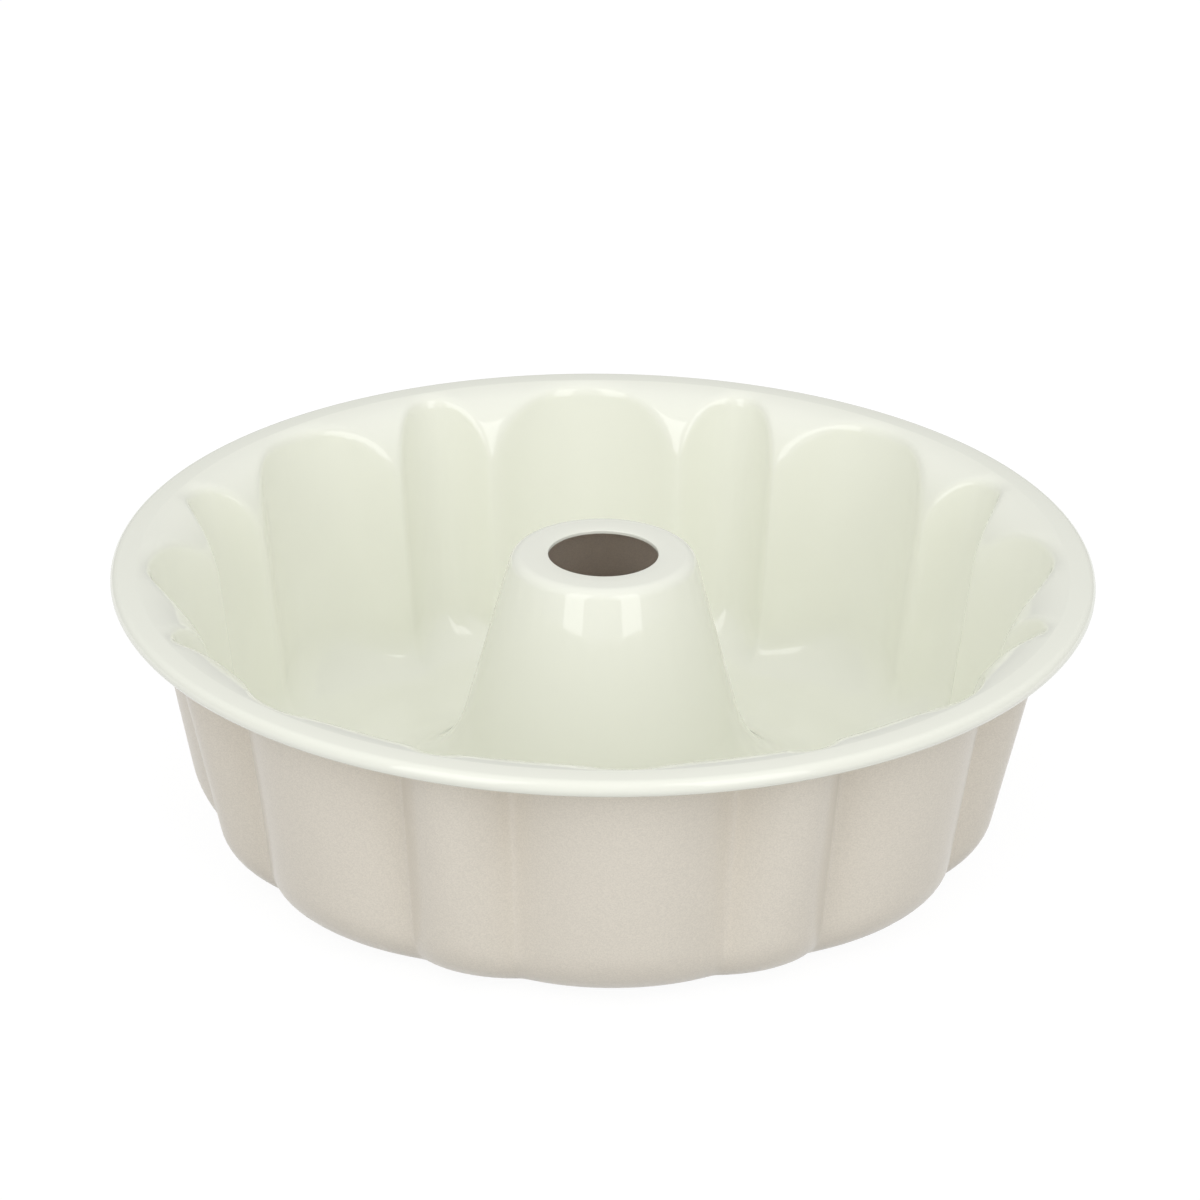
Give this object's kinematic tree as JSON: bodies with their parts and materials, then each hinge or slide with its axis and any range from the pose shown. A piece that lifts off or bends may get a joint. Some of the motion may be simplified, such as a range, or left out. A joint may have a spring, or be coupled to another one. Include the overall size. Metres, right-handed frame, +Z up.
{
  "type": "fluted tube pan",
  "caption": "Round fluted cake pan with alternating wide and narrow lobes, a hollow tapered centre tube, a flat flange with a rolled rim and a glossy ceramic lining.",
  "frame": {"origin": "on the table, under the centre tube's axis", "axes": "+Z up along the tube's axis, from the floor to the rim; a wide lobe faces -Y and another faces +X"},
  "size_m": [0.26, 0.26, 0.0777],
  "materials": {
    "pearl_lacquer": "semi-gloss pearl lacquer on steel, taupe with a fine flake",
    "cream_ceramic": "high-gloss cream ceramic coat"
  },
  "bodies": {
    "root": {"fluted_body": "pearl_lacquer", "centre_tube": "pearl_lacquer", "ceramic_lining": "cream_ceramic"}
  },
  "joints": []
}
